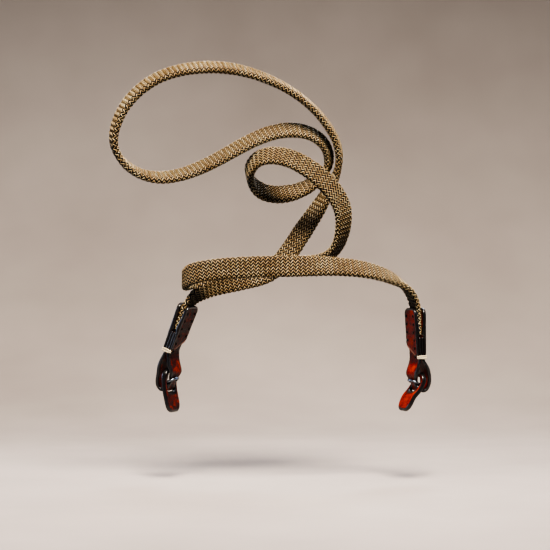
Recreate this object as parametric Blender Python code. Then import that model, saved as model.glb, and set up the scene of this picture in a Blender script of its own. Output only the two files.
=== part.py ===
"""Shoulder strap: one flat woven band laid in a loose coil, with a leather end at each side.

Every size below is a real one in millimetres. The frame's origin lies midway between the two
end rings: +X to the viewer's right, +Y away from the viewer, +Z up.
"""

import math
from collections import namedtuple

import bpy
import numpy as np

MM = 0.001

# Woven band
BAND_WIDTH = 13.0
BAND_THICKNESS = 4.2
BAND_PINCHED_THICKNESS = 3.1
BAND_SWELL_LENGTH = 16.0
BAND_RING_STEP = 4.5
WIDTH_TURN_LENGTH = 13.0

# Leather ends
CLEARANCE = 0.3
PANEL_WIDTH = 15.4
PANEL_FOOT_THICKNESS = 1.1
PANEL_TOP_THICKNESS = 2.0
PANEL_HEIGHT = 31.0
PANEL_TOP_RADIUS = 4.0
PANEL_FOOT_RADIUS = 4.0
PANEL_SKIVE_RISE = 8.0
LEATHER_EDGE_ROUND = 0.35
STRIP_THICKNESS = 1.4
STRIP_WIDTH = 15.0
STRIP_TOP = 13.2
STRIP_UPPER_SECTION = 9.0
STRIP_LOWER_SECTION = 5.0
STRIP_FOOT_SECTION = 1.0
BAND_END = 14.5
BAND_HOLD_STEP = 8.0
TAB_THICKNESS = 2.7
TAB_WIDTH = 15.0
TAB_CORNER_RADIUS = 4.5
SLOT_WIDTH = 11.4
SLOT_CORNER_RADIUS = 3.0
SLOT_CUT_REACH = 1.0
THREAD_DIAMETER = 1.3
TACK_HEIGHT = 1.3
TACK_OVERHANG = 0.2
TACK_BOW = 0.5

# End rings
RING_REACH = 73.85
RING_LEVEL = 0.5
RING_RADIUS = 4.6
RING_WIRE = 1.5
RING_TILT = 25.0

# Fits worked out from the sizes above
STACK_GAP = BAND_PINCHED_THICKNESS / 2 + CLEARANCE
STRIP_OFFSET = (STRIP_THICKNESS + CLEARANCE) / 2
BURIED_HEIGHTS = (BAND_END, BAND_END + BAND_HOLD_STEP, PANEL_HEIGHT)

Row = namedtuple("Row", "x y z across_x across_y across_z")
Loop = namedtuple("Loop", "out up width")
End = namedtuple(
    "End",
    "name side toe level pinch_out pinch_up lean loop tab foot slot_start slot_end",
)

# The band's centre line between the two leather ends, with the direction its width points in
ROUTE = (
    Row(-59.5, -4.0, 51.5, -0.44, -0.86, 0.20),
    Row(-52.0, 0.0, 56.5, -0.40, -0.60, 0.70),
    Row(-42.0, 5.0, 59.5, -0.15, -0.25, 0.95),
    Row(-28.5, 9.0, 62.5, -0.20, 0.10, 0.95),
    Row(-14.0, 11.0, 67.0, -0.35, 0.45, 0.80),
    Row(-3.5, 12.0, 77.5, -0.60, 0.40, 0.70),
    Row(6.5, 13.0, 92.5, -0.75, 0.45, 0.45),
    Row(14.5, 14.0, 104.5, -0.65, 0.65, 0.30),
    Row(21.5, 14.0, 116.0, -0.35, 0.90, 0.20),
    Row(27.5, 11.5, 130.0, 0.00, 1.00, 0.05),
    Row(27.0, 7.5, 143.5, 0.15, 1.00, 0.08),
    Row(20.0, 3.0, 156.5, 0.10, 1.00, 0.20),
    Row(6.5, -4.0, 170.0, 0.00, 0.93, 0.25),
    Row(-14.0, -12.0, 181.5, -0.10, 0.93, 0.38),
    Row(-36.5, -19.0, 187.5, -0.10, 0.88, 0.46),
    Row(-58.0, -24.0, 187.5, -0.15, 0.88, 0.46),
    Row(-78.5, -28.0, 182.0, -0.25, 0.88, 0.40),
    Row(-94.5, -30.0, 170.5, -0.35, 0.90, 0.30),
    Row(-104.0, -30.0, 155.5, -0.33, 0.93, 0.15),
    Row(-106.0, -28.0, 141.5, -0.18, 0.95, 0.05),
    Row(-98.5, -24.0, 129.5, 0.00, 0.96, 0.20),
    Row(-82.5, -19.0, 123.0, -0.05, 0.90, 0.42),
    Row(-62.0, -14.0, 126.5, -0.15, 0.85, 0.50),
    Row(-40.5, -9.0, 137.0, -0.20, 0.82, 0.55),
    Row(-20.0, -4.0, 148.0, -0.20, 0.78, 0.60),
    Row(-0.5, 1.0, 152.5, -0.05, 0.75, 0.66),
    Row(14.5, 6.0, 148.5, 0.25, 0.85, 0.45),
    Row(21.5, 11.5, 139.5, 0.30, 0.93, 0.18),
    Row(20.5, 15.0, 129.0, 0.20, 0.95, 0.10),
    Row(11.5, 17.0, 120.5, -0.15, 0.80, 0.55),
    Row(-4.5, 16.0, 114.5, -0.05, 0.60, 0.80),
    Row(-20.0, 9.0, 116.5, 0.05, 0.62, 0.78),
    Row(-26.5, 0.0, 125.5, -0.20, 0.75, 0.65),
    Row(-21.0, -8.0, 134.5, -0.15, 0.70, 0.70),
    Row(-5.5, -12.0, 135.5, 0.05, 0.55, 0.82),
    Row(8.5, -13.0, 129.0, 0.40, 0.45, 0.79),
    Row(22.0, -10.0, 117.5, 0.62, 0.40, 0.67),
    Row(29.5, -5.0, 105.0, 0.75, 0.55, 0.35),
    Row(30.0, 1.0, 92.0, 0.65, 0.75, 0.10),
    Row(25.0, 8.0, 79.5, 0.40, 0.90, -0.10),
    Row(13.0, 15.0, 73.0, 0.10, 0.85, -0.50),
    Row(-5.0, 20.0, 71.0, 0.00, 0.50, -0.85),
    Row(-26.5, 22.0, 69.0, 0.00, 0.15, -1.00),
    Row(-48.0, 18.0, 66.0, 0.00, 0.00, -1.00),
    Row(-60.5, 9.0, 63.0, 0.00, 0.00, -1.00),
    Row(-65.0, -4.0, 62.0, 0.00, 0.00, -1.00),
    Row(-60.0, -17.0, 65.5, 0.00, 0.00, -1.00),
    Row(-46.5, -23.0, 68.0, 0.00, 0.00, -1.00),
    Row(-26.0, -25.0, 69.5, 0.00, 0.00, -1.00),
    Row(-2.0, -25.0, 70.0, 0.00, -0.15, -1.00),
    Row(21.5, -22.0, 70.0, 0.00, -0.55, -0.85),
    Row(42.5, -16.0, 68.0, 0.00, -0.72, -0.70),
    Row(59.0, -9.0, 63.0, 0.15, -0.85, -0.55),
    Row(69.0, -4.0, 56.0, 0.30, -0.95, -0.10),
)

# Out and up are measured from the middle of the end's own ring
LEFT = End(
    name="left",
    side=-1,
    toe=23.6,
    level=RING_LEVEL,
    pinch_out=-0.4,
    pinch_up=17.9,
    lean=22.0,
    loop=(
        Loop(-1.4, 15.5, 15.0),
        Loop(-1.6, 12.0, 15.0),
        Loop(-2.6, 8.3, 14.0),
        Loop(-3.0, 5.6, 10.5),
        Loop(-2.0, 3.0, 6.0),
        Loop(-0.9, 0.7, 5.2),
        Loop(0.1, -2.1, 5.2),
        Loop(1.4, -4.0, 6.0),
        Loop(3.4, -4.9, 6.8),
        Loop(5.5, -4.0, 8.0),
        Loop(6.6, -1.4, 10.0),
        Loop(6.2, 2.0, 12.5),
        Loop(5.5, 5.5, 14.5),
        Loop(4.9, 9.0, 15.0),
        Loop(3.3, 13.2, 15.0),
        Loop(1.3, 16.8, 15.0),
    ),
    tab=((0.1, 7.8), (1.3, 3.5), (1.3, -0.6), (0.7, -6.0), (-0.1, -9.8), (-0.6, -12.2)),
    foot=6.5,
    slot_start=2.5,
    slot_end=14.0,
)
RIGHT = End(
    name="right",
    side=1,
    toe=20.5,
    level=-RING_LEVEL,
    pinch_out=0.9,
    pinch_up=14.5,
    lean=2.0,
    loop=(
        Loop(-0.4, 12.2, 15.0),
        Loop(-1.5, 8.5, 14.0),
        Loop(-2.2, 5.2, 10.5),
        Loop(-1.6, 2.6, 6.0),
        Loop(-0.6, -0.3, 5.2),
        Loop(0.5, -3.0, 5.2),
        Loop(2.4, -4.4, 6.5),
        Loop(4.4, -4.3, 7.5),
        Loop(6.1, -2.4, 9.0),
        Loop(6.8, 1.3, 12.0),
        Loop(6.4, 5.0, 14.5),
        Loop(5.2, 9.2, 15.0),
        Loop(3.4, 12.4, 15.0),
    ),
    tab=((2.2, 6.1), (2.6, 2.2), (1.5, -1.1), (-0.6, -4.3), (-3.3, -7.2), (-4.9, -9.4), (-5.8, -11.2)),
    foot=6.0,
    slot_start=2.5,
    slot_end=12.3,
)


def clear_scene():
    """Remove what the opened file holds."""
    for thing in list(bpy.data.objects):
        bpy.data.objects.remove(thing, do_unlink=True)


def finish(name, colour, roughness, metallic=0.0):
    """One Principled material of its own for one piece."""
    material = bpy.data.materials.new(name)
    material.use_nodes = True
    shader = material.node_tree.nodes["Principled BSDF"]
    shader.inputs["Base Color"].default_value = (*colour, 1.0)
    shader.inputs["Roughness"].default_value = roughness
    shader.inputs["Metallic"].default_value = metallic
    return material


def add_piece(name, points, faces, material, smooth=True):
    """A mesh object from points in millimetres, its faces turned outward."""
    points = np.asarray(points, float)
    volume = 0.0
    for face in faces:
        first = points[face[0]]
        for second, third in zip(face[1:-1], face[2:]):
            volume += np.dot(first, np.cross(points[second], points[third]))
    if volume < 0.0:
        faces = [tuple(reversed(face)) for face in faces]
    mesh = bpy.data.meshes.new(name)
    mesh.from_pydata((points * MM).tolist(), [], [tuple(int(i) for i in face) for face in faces])
    mesh.update()
    mesh.materials.append(material)
    for polygon in mesh.polygons:
        polygon.use_smooth = smooth
    piece = bpy.data.objects.new(name, mesh)
    bpy.context.scene.collection.objects.link(piece)
    return piece


def loft(rings):
    """Points and faces of a tube through equal closed rings, with a flat cap at each end."""
    rings = np.asarray(rings, float)
    count, around = rings.shape[:2]
    faces = []
    for ring in range(count - 1):
        for corner in range(around):
            here = ring * around + corner
            beside = ring * around + (corner + 1) % around
            faces.append((here, beside, beside + around, here + around))
    faces.append(tuple(reversed(range(around))))
    faces.append(tuple(range((count - 1) * around, count * around)))
    return rings.reshape(-1, 3), faces


def natural_spline(points, stations):
    """Positions and slopes of the natural cubic through points, at distances along their chords."""
    points = np.asarray(points, float)
    gaps = np.linalg.norm(np.diff(points, axis=0), axis=1)
    knots = np.concatenate(([0.0], np.cumsum(gaps)))
    count = len(points)
    matrix = np.eye(count)
    right = np.zeros_like(points)
    for row in range(1, count - 1):
        matrix[row, row - 1] = gaps[row - 1]
        matrix[row, row] = 2.0 * (gaps[row - 1] + gaps[row])
        matrix[row, row + 1] = gaps[row]
        after = (points[row + 1] - points[row]) / gaps[row]
        before = (points[row] - points[row - 1]) / gaps[row - 1]
        right[row] = 6.0 * (after - before)
    bend = np.linalg.solve(matrix, right)
    span = np.clip(np.searchsorted(knots, stations, side="right") - 1, 0, count - 2)
    gap = gaps[span][:, None]
    along = (stations - knots[span])[:, None]
    start, end = points[span], points[span + 1]
    bend_start, bend_end = bend[span], bend[span + 1]
    slope = (end - start) / gap - gap * (2.0 * bend_start + bend_end) / 6.0
    rise = (bend_end - bend_start) / (6.0 * gap)
    place = start + along * (slope + along * (bend_start / 2.0 + along * rise))
    direction = slope + along * (bend_start + along * 3.0 * rise)
    direction /= np.linalg.norm(direction, axis=1)[:, None]
    return place, direction


def chord_length(points):
    """Length of the straight pieces between points."""
    return float(np.linalg.norm(np.diff(np.asarray(points, float), axis=0), axis=1).sum())


class EndFrame:
    """Directions of one leather end: near the viewer, outward along the row, and up."""

    def __init__(self, end):
        toe = math.radians(end.toe)
        lean = math.radians(end.lean)
        self.end = end
        self.middle = np.array([end.side * RING_REACH, 0.0, end.level])
        self.near = np.array([end.side * math.sin(toe), -math.cos(toe), 0.0])
        self.out = np.array([end.side * math.cos(toe), math.sin(toe), 0.0])
        self.up = np.array([0.0, 0.0, 1.0])
        self.rise = np.array([-math.sin(lean), math.cos(lean)])
        self.over = np.array([math.cos(lean), math.sin(lean)])

    def world(self, out, up, near=0.0):
        """A point out, up and near the viewer from the ring's middle."""
        return self.middle + self.out * out + self.up * up + self.near * near

    def stack(self, over, height):
        """Out and up of a point in the stack of leather, from its foot."""
        foot = np.array([self.end.pinch_out, self.end.pinch_up])
        return foot + self.over * over + self.rise * height

    def stack_point(self, over, height, near=0.0):
        """A point of the stack in the object's frame."""
        out, up = self.stack(over, height)
        return self.world(out, up, near)


def band_points():
    """The route with its two buried ends, and the width direction at each row."""
    left, right = EndFrame(LEFT), EndFrame(RIGHT)
    points = [left.stack_point(0.0, height) for height in BURIED_HEIGHTS]
    across = [left.near] * len(BURIED_HEIGHTS)
    for row in ROUTE:
        points.append(np.array([row.x, row.y, row.z]))
        across.append(np.array([row.across_x, row.across_y, row.across_z]))
    points += [right.stack_point(0.0, height) for height in reversed(BURIED_HEIGHTS)]
    across += [right.near] * len(BURIED_HEIGHTS)
    across = np.array(across)
    return np.array(points), across / np.linalg.norm(across, axis=1)[:, None]


def band_frames(step):
    """Centre, width direction and thickness direction along the band, and the distances."""
    points, across = band_points()
    gaps = np.linalg.norm(np.diff(points, axis=0), axis=1)
    knots = np.concatenate(([0.0], np.cumsum(gaps)))
    fine = np.linspace(0.0, knots[-1], int(knots[-1]) + 1)
    _, direction = natural_spline(points, fine)
    width = np.stack([np.interp(fine, knots, across[:, axis]) for axis in range(3)], axis=1)
    reach = int(WIDTH_TURN_LENGTH / 2.0)
    window = np.hanning(2 * reach + 1)
    window /= window.sum()
    padded = np.pad(width, ((reach, reach), (0, 0)), mode="edge")
    width = np.stack([np.convolve(padded[:, axis], window, mode="valid") for axis in range(3)], axis=1)
    stations = np.linspace(0.0, knots[-1], int(round(knots[-1] / step)) + 1)
    centre, direction = natural_spline(points, stations)
    width = np.stack([np.interp(stations, fine, width[:, axis]) for axis in range(3)], axis=1)
    width -= direction * np.sum(width * direction, axis=1)[:, None]
    width /= np.linalg.norm(width, axis=1)[:, None]
    return stations, centre, width, np.cross(direction, width)


def band_section(thickness):
    """Across and through offsets of the flat section with rounded sides."""
    half = thickness / 2.0
    flat = BAND_WIDTH / 2.0 - half
    corners = []
    for side, turn in ((1.0, -90.0), (-1.0, 90.0)):
        for part in range(6):
            angle = math.radians(turn + part * 36.0)
            corners.append((side * flat + half * math.cos(angle), half * math.sin(angle)))
    return corners


def make_band():
    """The woven band as one closed solid."""
    stations, centre, width, through = band_frames(BAND_RING_STEP)
    last = stations[-1]
    rings = []
    for station, place, across, normal in zip(stations, centre, width, through):
        free = min(station, last - station) - (PANEL_HEIGHT - BAND_END)
        inward = min(1.0, max(0.0, free / BAND_SWELL_LENGTH))
        blend = inward ** 2 * (3.0 - 2.0 * inward)
        thickness = BAND_PINCHED_THICKNESS + (BAND_THICKNESS - BAND_PINCHED_THICKNESS) * blend
        rings.append([place + across * a + normal * b for a, b in band_section(thickness)])
    points, faces = loft(rings)
    return add_piece("strap_braid", points, faces, finish("woven_band", (0.16, 0.075, 0.022), 0.6))


def rounded_outline(corners, steps=6):
    """Points round a convex outline whose corners are (across, along, radius)."""
    outline = []
    count = len(corners)
    for index, (across, along, radius) in enumerate(corners):
        here = np.array([across, along])
        before = np.array(corners[index - 1][:2]) - here
        after = np.array(corners[(index + 1) % count][:2]) - here
        before = before / np.linalg.norm(before)
        after = after / np.linalg.norm(after)
        half = math.acos(float(np.clip(before @ after, -1.0, 1.0))) / 2.0
        middle = before + after
        centre = here + middle / np.linalg.norm(middle) * radius / math.sin(half)
        start = here + before * radius / math.tan(half) - centre
        finish_arm = here + after * radius / math.tan(half) - centre
        first = math.atan2(start[1], start[0])
        turn = math.atan2(finish_arm[1], finish_arm[0]) - first
        turn = (turn + math.pi) % (2.0 * math.pi) - math.pi
        for part in range(steps + 1):
            angle = first + turn * part / steps
            outline.append(centre + radius * np.array([math.cos(angle), math.sin(angle)]))
    return np.array(outline)


def inset(outline, distance):
    """The same outline moved inward by a small distance."""
    ahead = np.roll(outline, -1, axis=0) - outline
    ahead /= np.linalg.norm(ahead, axis=1)[:, None]
    mean = ahead + np.roll(ahead, 1, axis=0)
    mean /= np.linalg.norm(mean, axis=1)[:, None]
    normal = np.stack([-mean[:, 1], mean[:, 0]], axis=1)
    return outline + normal * distance


def panel_thickness(height):
    """Thickness of a side panel, thinned toward its foot."""
    return PANEL_FOOT_THICKNESS + (PANEL_TOP_THICKNESS - PANEL_FOOT_THICKNESS) * height / PANEL_HEIGHT


def make_panel(frame, side, name, skived):
    """One side panel of the stack; a skived one ends on a slant at its foot."""
    half = PANEL_WIDTH / 2.0
    rise = PANEL_SKIVE_RISE if skived else 0.0
    corners = (
        (-half, rise, PANEL_FOOT_RADIUS),
        (half, 0.0, PANEL_FOOT_RADIUS / 2.0 if skived else PANEL_FOOT_RADIUS),
        (half, PANEL_HEIGHT, PANEL_TOP_RADIUS),
        (-half, PANEL_HEIGHT, PANEL_TOP_RADIUS),
    )
    outline = rounded_outline(corners)
    small = inset(outline, LEATHER_EDGE_ROUND)
    layers = (
        (small, 0.0, 0.0),
        (outline, 0.0, LEATHER_EDGE_ROUND),
        (outline, 1.0, -LEATHER_EDGE_ROUND),
        (small, 1.0, 0.0),
    )
    rings = []
    for layer, through, shift in layers:
        ring = []
        for across, along in layer:
            over = STACK_GAP + through * panel_thickness(along) + shift
            ring.append(frame.stack_point(side * over, along, across))
        rings.append(ring)
    points, faces = loft(rings)
    return add_piece(name, points, faces, finish(name + "_leather", (0.22, 0.035, 0.012), 0.45), smooth=False)


def flat_section(width, thickness):
    """Across and through offsets of a leather strip with softened corners."""
    a, b, c = width / 2.0, thickness / 2.0, LEATHER_EDGE_ROUND
    return (
        (a, -b + c), (a, b - c), (a - c, b), (-a + c, b),
        (-a, b - c), (-a, -b + c), (-a + c, -b), (a - c, -b),
    )


def strip_rings(frame, path, direction, widths, thickness):
    """Rings of a strip whose width lies along the end's near direction."""
    rings = []
    for (out, up), (run, climb), width in zip(path, direction, widths):
        through = frame.out * -climb + frame.up * run
        centre = frame.world(out, up)
        rings.append([centre + frame.near * a + through * b for a, b in flat_section(width, thickness)])
    return rings


def make_loop_strip(frame):
    """The folded strip: both ends in the stack, its bend passing through ring and slot."""
    heights = (STRIP_TOP, STRIP_UPPER_SECTION, STRIP_LOWER_SECTION, STRIP_FOOT_SECTION)
    rows = [(*frame.stack(-STRIP_OFFSET, height), STRIP_WIDTH) for height in heights]
    rows += [tuple(row) for row in frame.end.loop]
    rows += [(*frame.stack(STRIP_OFFSET, height), STRIP_WIDTH) for height in reversed(heights)]
    rows = np.array(rows)
    length = chord_length(rows[:, :2])
    stations = np.linspace(0.0, length, int(length / 1.1) + 1)
    path, direction = natural_spline(rows[:, :2], stations)
    knots = np.concatenate(([0.0], np.cumsum(np.linalg.norm(np.diff(rows[:, :2], axis=0), axis=1))))
    widths = np.interp(stations, knots, rows[:, 2])
    points, faces = loft(strip_rings(frame, path, direction, widths, STRIP_THICKNESS))
    name = frame.end.name + "_loop_strip"
    return add_piece(name, points, faces, finish(name + "_leather", (0.2, 0.03, 0.01), 0.45), smooth=False)


def tab_path(frame, stations):
    """Out and up along the tab: a curve through its rows, then a straight foot."""
    rows = np.array(frame.end.tab)
    curved = chord_length(rows)
    bent = np.minimum(stations, curved)
    path, direction = natural_spline(rows, bent)
    return path + direction * (stations - bent)[:, None], direction


def corner_width(width, radius, distance):
    """Width of a round-cornered strip at a distance from its end."""
    depth = max(0.0, radius - distance)
    return width - 2.0 * (radius - math.sqrt(max(0.0, radius * radius - depth * depth)))


def tab_solid(frame, start, stop, width, radius, thickness):
    """Points and faces of the length of tab between two distances from its top."""
    inner = np.arange(start + radius, stop - radius, 1.0)
    eased = radius * (1.0 - np.cos(np.linspace(0.0, math.pi / 2.0, 5)))
    ends = np.concatenate((start + eased, stop - eased))
    stations = np.unique(np.round(np.concatenate((ends, inner)), 3))
    stations = stations[np.concatenate(([True], np.diff(stations) > 0.08))]
    path, direction = tab_path(frame, stations)
    widths = [corner_width(width, radius, min(s - start, stop - s)) for s in stations]
    return loft(strip_rings(frame, path, direction, widths, thickness))


def make_tab(frame):
    """The protecting tab with the slot that ring and strip pass through."""
    end = frame.end
    length = chord_length(end.tab) + end.foot
    name = end.name + "_lug_tab"
    points, faces = tab_solid(frame, 0.0, length, TAB_WIDTH, TAB_CORNER_RADIUS, TAB_THICKNESS)
    leather = finish(name + "_leather", (0.25, 0.05, 0.015), 0.45)
    tab = add_piece(name, points, faces, leather, smooth=False)
    cut_depth = TAB_THICKNESS + 2 * SLOT_CUT_REACH
    points, faces = tab_solid(
        frame, end.slot_start, end.slot_end, SLOT_WIDTH, SLOT_CORNER_RADIUS, cut_depth
    )
    cutter = add_piece(name + "_slot_cutter", points, faces, leather, smooth=False)
    cutter.hide_render = True
    cutter.display_type = "WIRE"
    cut = tab.modifiers.new("slot", "BOOLEAN")
    cut.operation = "DIFFERENCE"
    cut.solver = "EXACT"
    cut.object = cutter
    return tab


def make_ring(frame, around=36, across=10):
    """The end ring, tilted down and outward through the tab's slot."""
    tilt = math.radians(RING_TILT)
    level = frame.out * math.cos(tilt) - frame.up * math.sin(tilt)
    axis = np.cross(level, frame.near)
    points, faces = [], []
    for turn in range(around):
        angle = 2.0 * math.pi * turn / around
        spoke = level * math.cos(angle) + frame.near * math.sin(angle)
        for part in range(across):
            spin = 2.0 * math.pi * part / across
            reach = RING_RADIUS + RING_WIRE / 2.0 * math.cos(spin)
            points.append(frame.middle + spoke * reach + axis * (RING_WIRE / 2.0 * math.sin(spin)))
            here, beside = turn * across + part, turn * across + (part + 1) % across
            ahead, apart = (turn + 1) % around * across + part, (turn + 1) % around * across + (part + 1) % across
            faces.append((here, beside, apart, ahead))
    name = frame.end.name + "_ring"
    return add_piece(name, points, faces, finish(name + "_steel", (0.55, 0.58, 0.62), 0.25, 1.0))


def thread_section():
    """Along and through offsets of two threads laid side by side."""
    half = THREAD_DIAMETER / 2.0
    corners = []
    for side, first in ((1.0, -60.0), (-1.0, 120.0)):
        for part in range(6):
            angle = math.radians(first + part * 36.0)
            corners.append((side * half * 0.9 + half * math.cos(angle), half * math.sin(angle)))
    return corners


def make_tack(frame):
    """Two threads bound across the near edge of the stack, just above its foot."""
    half = STACK_GAP + panel_thickness(TACK_HEIGHT) + TACK_OVERHANG
    edge = PANEL_WIDTH / 2.0 + CLEARANCE + THREAD_DIAMETER / 2.0
    rows = [(-half, edge), (-half * 0.6, edge + TACK_BOW * 0.7), (0.0, edge + TACK_BOW)]
    rows += [(-over, near) for over, near in reversed(rows[:-1])]
    length = chord_length(rows)
    stations = np.linspace(0.0, length, 11)
    path, direction = natural_spline(rows, stations)
    along = frame.stack_point(0.0, 1.0) - frame.stack_point(0.0, 0.0)
    over_axis = frame.stack_point(1.0, 0.0) - frame.stack_point(0.0, 0.0)
    rings = []
    for (over, near), (run, climb) in zip(path, direction):
        centre = frame.stack_point(over, TACK_HEIGHT, near)
        through = over_axis * climb - frame.near * run
        rings.append([centre + along * a + through * b for a, b in thread_section()])
    points, faces = loft(rings)
    name = frame.end.name + "_thread_tack"
    return add_piece(name, points, faces, finish(name + "_cord", (0.75, 0.68, 0.5), 0.7))


def main():
    """Build every piece."""
    clear_scene()
    make_band()
    for end in (LEFT, RIGHT):
        frame = EndFrame(end)
        make_panel(frame, 1.0, end.name + "_outer_panel", skived=False)
        make_panel(frame, -1.0, end.name + "_inner_panel", skived=True)
        make_loop_strip(frame)
        make_tack(frame)
        make_ring(frame)
        make_tab(frame)


main()
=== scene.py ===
"""Woven shoulder strap in a loose coil, with stitched leather ends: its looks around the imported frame.

Distances in the classes are millimetres of the real strap. Meshes are written in metres, in the frame's axes.
"""

from __future__ import annotations

import logging
import math
from collections.abc import Callable
from dataclasses import dataclass
from enum import Enum
from functools import partial

import bpy
import numpy as np
from bpy.types import ID, Material, Mesh, Node, NodeTree, Object
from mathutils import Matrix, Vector

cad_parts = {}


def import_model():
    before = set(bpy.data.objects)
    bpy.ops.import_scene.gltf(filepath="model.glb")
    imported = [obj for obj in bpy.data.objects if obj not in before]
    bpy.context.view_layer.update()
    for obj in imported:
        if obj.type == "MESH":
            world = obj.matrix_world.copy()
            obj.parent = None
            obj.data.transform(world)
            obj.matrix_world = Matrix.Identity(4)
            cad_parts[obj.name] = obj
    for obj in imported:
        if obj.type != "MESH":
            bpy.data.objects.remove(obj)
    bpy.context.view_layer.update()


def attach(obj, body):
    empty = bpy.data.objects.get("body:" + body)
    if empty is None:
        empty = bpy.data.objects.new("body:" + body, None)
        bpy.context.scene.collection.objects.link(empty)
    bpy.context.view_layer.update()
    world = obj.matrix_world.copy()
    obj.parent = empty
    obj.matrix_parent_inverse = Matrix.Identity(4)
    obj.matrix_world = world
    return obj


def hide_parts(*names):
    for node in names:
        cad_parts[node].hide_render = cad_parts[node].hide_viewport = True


log = logging.getLogger("strap")

MM = 0.001
FULL_TURN = 2.0 * math.pi
Array = np.ndarray
Faces = list[tuple[int, ...]]
Rows = tuple[tuple[float, ...], ...]


class Side(Enum):
    """Which leather end a piece belongs to."""

    LEFT = -1
    RIGHT = 1


# Small helpers


def srgb(code: str) -> tuple[float, float, float, float]:
    """Turn an sRGB hex colour to linear.

    Args:
        code: Six hex digits.

    Returns:
        Linear red, green, blue and an alpha of one.
    """
    values = [int(code[i : i + 2], 16) / 255.0 for i in (0, 2, 4)]
    linear = [v / 12.92 if v <= 0.04045 else ((v + 0.055) / 1.055) ** 2.4 for v in values]
    return (*linear, 1.0)


def feed(node: Node, settings: dict | None = None, links: dict | None = None) -> Node:
    """Give a node its values and incoming links.

    Args:
        node: Shader or geometry node.
        settings: Attribute names, or input names or indices, with their values. The entry called stops holds
            the places and hex colours of a colour ramp.
        links: Input names or indices, each with the socket that feeds it, or a node for its first output.

    Returns:
        The node.
    """
    for key, value in (settings or {}).items():
        if key == "stops":
            elements = node.color_ramp.elements
            while len(elements) < len(value):
                elements.new(0.5)
            for element, (place, code) in zip(elements, value):
                element.position = place
                element.color = srgb(code)
        elif isinstance(key, str) and hasattr(node, key):
            setattr(node, key, value)
        else:
            node.inputs[key].default_value = value
    for key, source in (links or {}).items():
        socket = source.outputs[0] if isinstance(source, Node) else source
        node.id_data.links.new(socket, node.inputs[key])
    return node


def add_node(tree: NodeTree, kind: str, settings: dict | None = None, links: dict | None = None) -> Node:
    """Add one node to a tree, with its settings and links as feed takes them."""
    return feed(tree.nodes.new(kind), settings, links)


def new_material(name: str) -> tuple[Material, Callable[..., Node], Node]:
    """Start a material with one Principled shader.

    Args:
        name: Material name.

    Returns:
        The material, the function that adds a node to it, and its shader.
    """
    material = bpy.data.materials.new(name)
    material.use_nodes = True
    tree = material.node_tree
    return material, partial(add_node, tree), tree.nodes["Principled BSDF"]


def new_tree(name: str, inputs: dict[str, str]) -> tuple[NodeTree, Callable[..., Node], dict]:
    """Start a geometry tree with named inputs.

    Args:
        name: Its name.
        inputs: Name of each input, with its kind.

    Returns:
        The tree, the function that adds a node to it, and the sockets of its inputs.
    """
    tree = bpy.data.node_groups.new(name, "GeometryNodeTree")
    for title, kind in inputs.items():
        tree.interface.new_socket(name=title, in_out="INPUT", socket_type="NodeSocket" + kind)
    tree.interface.new_socket(name="Geometry", in_out="OUTPUT", socket_type="NodeSocketGeometry")
    return tree, partial(add_node, tree), add_node(tree, "NodeGroupInput").outputs


def end_tree(add: Callable[..., Node], instances: Node, material: bpy.types.NodeSocket) -> None:
    """Realise a geometry tree's instances, give them their material and put them out.

    Args:
        add: The function that adds a node to the tree.
        instances: Node whose first output holds them.
        material: Input socket with the material.
    """
    real = add("GeometryNodeRealizeInstances", links={"Geometry": instances})
    dressed = add("GeometryNodeSetMaterial", links={"Geometry": real, "Material": material})
    add("NodeGroupOutput", links={0: dressed})


def run_tree(name: str, tree: NodeTree, values: dict[str, object]) -> Mesh:
    """Evaluate a geometry tree to a plain mesh.

    Args:
        name: Name of the mesh.
        tree: Geometry tree whose inputs have names.
        values: Value of each named input.

    Returns:
        The realised mesh.
    """
    holder = add_object(name + "_holder", bpy.data.meshes.new(name + "_holder"))
    modifier = holder.modifiers.new("repeat", "NODES")
    modifier.node_group = tree
    for item in tree.interface.items_tree:
        if item.item_type == "SOCKET" and item.in_out == "INPUT" and item.name in values:
            modifier[item.identifier] = values[item.name]
    graph = bpy.context.evaluated_depsgraph_get()
    graph.update()
    evaluated = holder.evaluated_get(graph)
    mesh = bpy.data.meshes.new_from_object(evaluated, preserve_all_data_layers=True, depsgraph=graph)
    holder.modifiers.remove(modifier)
    bpy.data.objects.remove(holder, do_unlink=True)
    mesh.name = name
    return mesh


def vertex_places(mesh: Mesh) -> Array:
    """Read the places of a mesh's vertices.

    Args:
        mesh: Any mesh.

    Returns:
        One row for each vertex.
    """
    flat = np.empty(len(mesh.vertices) * 3)
    mesh.vertices.foreach_get("co", flat)
    return flat.reshape(-1, 3)


def add_object(name: str, data: ID) -> Object:
    """Link data to the scene as an object.

    Args:
        name: Object name.
        data: Mesh, camera or light.

    Returns:
        The object.
    """
    item = bpy.data.objects.new(name, data)
    bpy.context.scene.collection.objects.link(item)
    return item


def smooth(mesh: Mesh) -> None:
    """Shade a mesh's faces smooth."""
    mesh.polygons.foreach_set("use_smooth", [True] * len(mesh.polygons))


def dress(piece: Object, stands_for: str = "") -> None:
    """Hide the CAD node that a piece replaces, and parent the piece to the root body's empty.

    Args:
        piece: Mesh object.
        stands_for: CAD node that it replaces.
    """
    if stands_for:
        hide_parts(stands_for)
    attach(piece, "root")


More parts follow.
